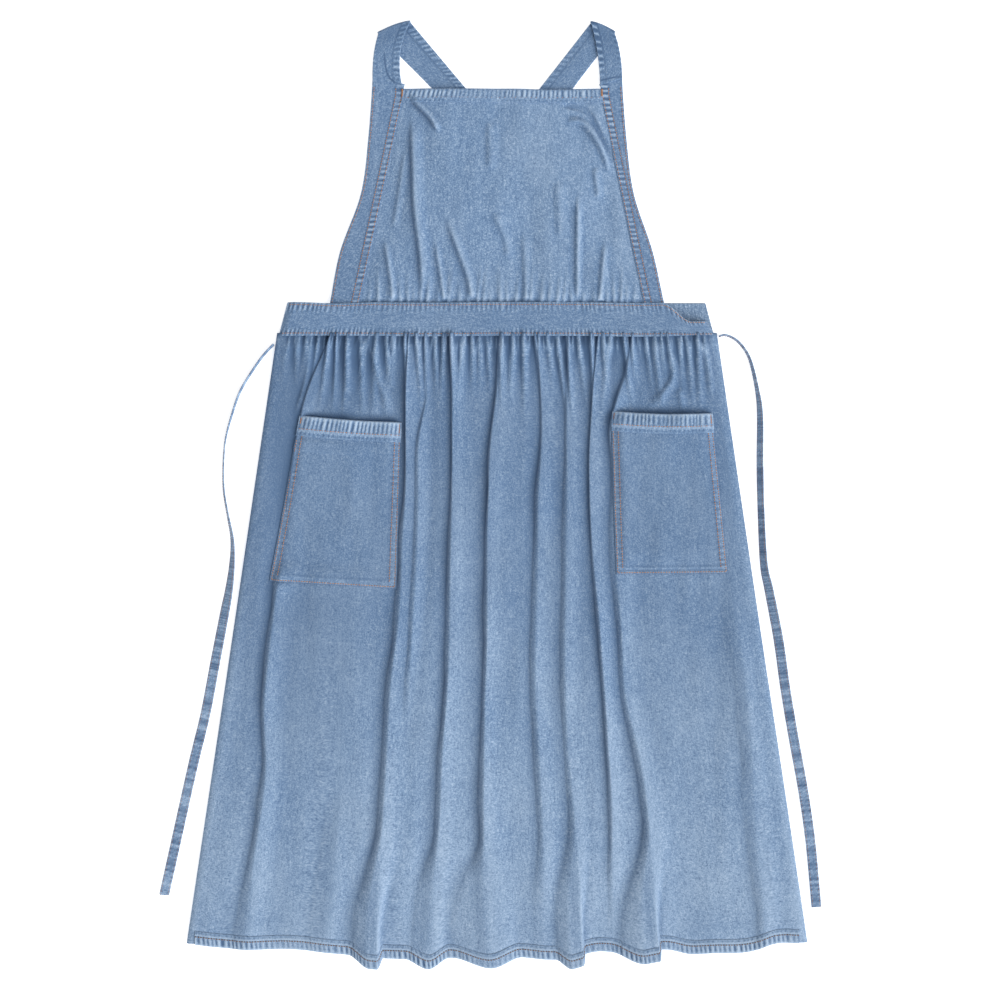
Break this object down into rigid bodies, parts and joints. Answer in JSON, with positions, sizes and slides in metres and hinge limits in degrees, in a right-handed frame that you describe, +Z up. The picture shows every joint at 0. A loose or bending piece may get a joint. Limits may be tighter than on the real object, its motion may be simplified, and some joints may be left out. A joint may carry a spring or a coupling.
{
  "type": "artist smock apron",
  "caption": "Light-wash denim pinafore apron lying flat: gathered skirt with two patch pockets, waistband, gathered bib, crossed shoulder straps and two waist ties.",
  "frame": {"origin": "on the surface that the apron lies on, at the middle of its outline without the ties", "axes": "+Y from the hem to the shoulders, +X to the right of someone looking down on the front, +Z up from the surface through the front"},
  "size_m": [0.8308, 1.1825, 0.033],
  "materials": {
    "denim": "light stone-washed cotton denim, matt, fine twill with pale slubs and puckered seams",
    "denim_inside": "inside face of light denim, matt, paler and greyer than the outside",
    "denim_tie": "narrow folded denim strip, matt, puckered along its stitching",
    "copper_thread": "copper-brown polyester topstitching thread, slight sheen"
  },
  "bodies": {
    "skirt": {"skirt_front": "denim", "skirt_back_left": "denim_inside", "skirt_back_right": "denim_inside", "waistband_outer": "denim", "waistband_facing": "denim_inside", "waistband_back_left": "denim_inside", "waistband_back_right": "denim_inside", "pocket_left": "denim", "pocket_right": "denim", "bar_tack_pocket_left_outer": "copper_thread", "bar_tack_pocket_left_inner": "copper_thread", "bar_tack_pocket_right_inner": "copper_thread", "bar_tack_pocket_right_outer": "copper_thread"},
    "bib": {"bib_panel": "denim", "side_band_left": "denim", "side_band_right": "denim", "shoulder_strap_left": "denim", "shoulder_strap_right": "denim", "bar_tack_bib_left": "copper_thread", "bar_tack_bib_right": "copper_thread"},
    "tie_left": {"waist_tie_left": "denim_tie"},
    "tie_right": {"waist_tie_right": "denim_tie"}
  },
  "joints": [
    {"name": "bib_fold", "type": "hinge", "parent": "skirt", "child": "bib", "pos_m": [0, 0.239, 0.0132], "axis": [1, 0, 0], "range_deg": [0, 170]},
    {"name": "tie_left_swing", "type": "hinge", "parent": "skirt", "child": "tie_left", "pos_m": [-0.2795, 0.187, 0], "axis": [0, 0, 1], "range_deg": [-85, 0]},
    {"name": "tie_right_swing", "type": "hinge", "parent": "skirt", "child": "tie_right", "pos_m": [0.2784, 0.197, 0], "axis": [0, 0, 1], "range_deg": [0, 85]}
  ]
}
